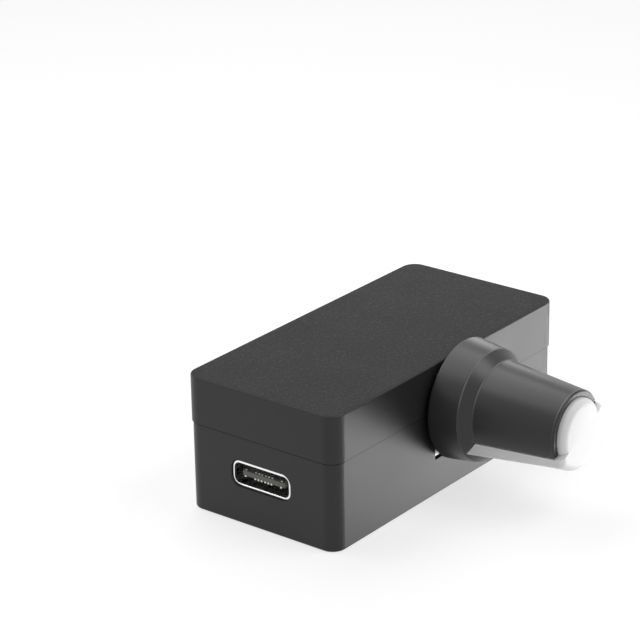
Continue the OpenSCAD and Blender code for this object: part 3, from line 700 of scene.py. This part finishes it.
def socket_contacts():
    """Contact strips on both faces of the tongue, with bent tips at its lower edge, and their tails."""
    strips = []
    top, under = SOCKET_Z + TONGUE_T / 2, SOCKET_Z - TONGUE_T / 2 - STRIP_T
    rear = MOUTH + SOCKET_L
    for slot in CONTACT_SLOTS:
        side = (slot - MIDDLE_SLOT) * CONTACT_PITCH
        left = side - STRIP_W / 2
        strips += [
            block((UPPER_L, STRIP_W, STRIP_T), (TONGUE_TIP + UPPER_SETBACK, left, top), STRIP_EDGE),
            block((LOWER_L, STRIP_W, STRIP_T), (TONGUE_TIP, left, under), STRIP_EDGE),
            block(NUB, (TONGUE_TIP - NUB_REACH, side - NUB[1] / 2, under), NUB_EDGE),
            block((TAIL_L, STRIP_W, STRIP_T), (rear, left, TAIL_FOOT), STRIP_EDGE),
            block((STRIP_T, STRIP_W, TAIL_RISE), (rear, left, TAIL_FOOT), STRIP_EDGE),
        ]
    return joined(strips)


piece("socket_shell", socket_shell(), SOCKET_PLACE, "usb_shell", "case", "socket_steel", "socket_rim")
piece("socket_tongue", socket_tongue(), SOCKET_PLACE, "usb_tongue", "case", "black_plastic", "tongue_plastic")
piece("socket_contacts", socket_contacts(), SOCKET_PLACE, "usb_contacts", "case", "gold_plate",
      "contact_plate")


# Potentiometer's square washer, between its plate and the case's window

WASHER_X = (-2.92, 6.85)
WASHER_Z = (5.2, 16.2)
WASHER_T = 0.4
WASHER_Y = -11.22
WASHER_HOLE_R = 3.6


def pot_washer():
    """Square washer with a round hole for the bushing."""
    build = bmesh.new()
    (left, right), (low, high) = WASHER_X, WASHER_Z
    _, sides = wire(build, [(left, 0, low), (right, 0, low), (right, 0, high), (left, 0, high)])
    hole = bmesh.ops.create_circle(
        build, cap_ends=False, segments=48, radius=WASHER_HOLE_R * MM,
        matrix=Matrix.Translation(Vector((KNOB_X, 0, KNOB_Z)) * MM) @ quarter_turned("X"))
    ring = list({edge for vert in hole["verts"] for edge in vert.link_edges})
    bmesh.ops.triangle_fill(build, edges=sides + ring, use_beauty=True)
    pushed(build, (0, WASHER_T, 0))
    soften(build, FINE_EDGE)
    moved(build, (0, WASHER_Y, 0))
    return build


piece("pot_washer", pot_washer(), Matrix(), None, "case", "socket_steel", "washer_zinc")


# Painted shade: a thin dark strip in the parting groove of the lower shell that stands for the groove's
# shadow line, open where the case's windows cross it

GROOVE_L = 46.0
GROOVE_W = 22.2
GROOVE_Z = 11.45
SHADE_STRIP_REACH = 0.24
SHADE_STRIP_GAP = 0.01
SHADE_STRIP_LIFT = 0.005
SHADE_STRIP_H = 0.1
OUTER_CORNER = 1.9
INNER_CORNER = 1.6
KNOB_WINDOW = (-3.3, 7.3)
HEADER_WINDOW = (-6.0, 6.0)


def open_run(build, axis, low, high, beyond):
    """Takes the run between two places on an axis out of one side of a ring, and closes the cut ends."""
    for place in (low, high):
        bmesh.ops.bisect_plane(build, geom=build.verts[:] + build.edges[:] + build.faces[:], dist=0.0001 * MM,
                               plane_co=axis * place * MM, plane_no=axis)
    run = [face for face in build.faces if low * MM < face.calc_center_median().dot(axis) < high * MM
           and face.calc_center_median().dot(beyond) > 0]
    bmesh.ops.delete(build, geom=run, context="FACES")
    close_ends(build)
    bmesh.ops.recalc_face_normals(build, faces=build.faces)


def parting_shade_strip():
    """Flat dark ring of painted shade in the groove, with a gap at the knob's window and one at the header's.
    """
    build = bmesh.new()
    outer = rounded_loop(build, GROOVE_W + 2 * SHADE_STRIP_REACH, GROOVE_L + 2 * SHADE_STRIP_REACH, OUTER_CORNER)
    inner = rounded_loop(build, GROOVE_W + 2 * SHADE_STRIP_GAP, GROOVE_L + 2 * SHADE_STRIP_GAP, INNER_CORNER)
    bmesh.ops.bridge_loops(build, edges=outer + inner)
    pushed(build, (-SHADE_STRIP_H, 0, 0))
    bmesh.ops.rotate(build, verts=build.verts, cent=(0, 0, 0), matrix=quarter_turned("Y").to_3x3())
    moved(build, (0, 0, GROOVE_Z + SHADE_STRIP_LIFT))
    open_run(build, Vector((1, 0, 0)), *KNOB_WINDOW, Vector((0, -1, 0)))
    open_run(build, Vector((0, 1, 0)), *HEADER_WINDOW, Vector((1, 0, 0)))
    return build


# Dark strip of painted shade along the parting line
piece("parting_shade_strip", parting_shade_strip(), Matrix(), None, "case", "black_plastic", "painted_groove_shade")


# Floor and world. Where they are seen themselves they are white; what they cast on the object is softer.

FLOOR_HALF_M = 3.0
FLOOR_Z = -0.03
FLOOR_GLOW = 0.7
FLOOR_SHADE = 0.36
FLOOR_COLOR = 0.92
FLOOR_ROUGHNESS = 0.9
WORLD_FILL = 0.28


def seen_directly(tree):
    """1 on the rays that show the surround: camera, glossy and transmission."""
    path = add(tree, "ShaderNodeLightPath").outputs
    seen = calc(tree, "MAXIMUM", path["Is Camera Ray"], path["Is Glossy Ray"])
    return calc(tree, "MAXIMUM", seen, path["Is Transmission Ray"])


def pale_floor():
    """White floor that takes the object's shadow, is clear from below and lets the table panel's light up."""
    build = bmesh.new()
    bmesh.ops.create_grid(build, x_segments=1, y_segments=1, size=FLOOR_HALF_M)
    moved(build, (0, 0, FLOOR_Z))
    floor = as_object("floor", build)
    material, tree, shader = new_material("floor")
    shader.inputs["Base Color"].default_value = (FLOOR_COLOR, FLOOR_COLOR, FLOOR_COLOR, 1)
    shader.inputs["Roughness"].default_value = FLOOR_ROUGHNESS
    shader.inputs["Specular IOR Level"].default_value = 0.0
    glow = add(tree, "ShaderNodeEmission", {"Color": (1, 1, 1, 1), "Strength": FLOOR_GLOW})
    shade = add(tree, "ShaderNodeBsdfDiffuse", {"Color": (FLOOR_SHADE, FLOOR_SHADE, FLOOR_SHADE, 1)})
    both = add(tree, "ShaderNodeAddShader", {0: glow.outputs[0], 1: shade.outputs[0]})
    above = add(tree, "ShaderNodeMixShader", {
        "Fac": seen_directly(tree), 1: shader.outputs[0], 2: both.outputs[0]})
    below = add(tree, "ShaderNodeNewGeometry").outputs["Backfacing"]
    clear = add(tree, "ShaderNodeBsdfTransparent")
    surface = add(tree, "ShaderNodeMixShader", {"Fac": below, 1: above.outputs[0], 2: clear.outputs[0]})
    tree.links.new(surface.outputs[0], tree.nodes["Material Output"].inputs["Surface"])
    floor.data.materials.append(material)
    floor.visible_shadow = False


def pale_world():
    """Soft even light on the object, and a white surround wherever the surround itself is seen."""
    world = bpy.data.worlds.new("world")
    bpy.context.scene.world = world
    world.use_nodes = True
    tree = world.node_tree
    fill = tree.nodes["Background"]
    fill.inputs["Color"].default_value = (1, 1, 1, 1)
    fill.inputs["Strength"].default_value = WORLD_FILL
    white = add(tree, "ShaderNodeBackground", {"Color": (1, 1, 1, 1), "Strength": 1.0})
    mixed = add(tree, "ShaderNodeMixShader", {
        "Fac": seen_directly(tree), 1: fill.outputs[0], 2: white.outputs[0]})
    tree.links.new(mixed.outputs[0], tree.nodes["World Output"].inputs["Surface"])


# Lamps: direction of each panel from what it faces, distance, width, height, radiance, and what it
# faces. Lengths and places here are in metres.

CASE_FRONT = (0, -0.0115, 0.009)
CASE_END = (0.02, 0.008, 0.018)
FRONT_FAR = (0.014, -0.0115, 0.009)
PANELS = {
    "back_panel": ((0.04, 0.5, 0.86), 0.30, 0.36, 0.17, 2.8, CASE_FRONT),
    "front_panel": ((0.2, -0.52, 0.8), 0.30, 0.16, 0.14, 4.0, CASE_FRONT),
    "end_panel": ((0.76, 0.56, 0.33), 0.10, 0.07, 0.04, 2.6, CASE_END),
    "table_panel": ((1.27, -1.0, -0.66), 0.08, 0.075, 0.05, 4.1, FRONT_FAR),
}


def area_lamp(name, direction, distance, width, height, radiance, target):
    """Panel that faces a target from a direction, as bright as its radiance says."""
    data = bpy.data.lights.new(name, "AREA")
    data.shape = "RECTANGLE"
    data.size = width
    data.size_y = height
    data.energy = math.pi * width * height * radiance
    lamp = bpy.data.objects.new(name, data)
    bpy.context.scene.collection.objects.link(lamp)
    direction = Vector(direction).normalized()
    place = Vector(target) + direction * distance
    lamp.matrix_world = Matrix.Translation(place) @ direction.to_track_quat("Z", "Y").to_matrix().to_4x4()
    lamp.visible_camera = False
    return lamp


pale_floor()
pale_world()
lamps = {name: area_lamp(name, *panel) for name, panel in PANELS.items()}

# The floor casts no shadow, so the table panel's own light passes it. It would stop rays that search for
# the panel from above, so the panel is found by its own light alone.
lamps["table_panel"].data.cycles.use_multiple_importance_sampling = False

scene = bpy.context.scene
scene.view_settings.view_transform = "Standard"
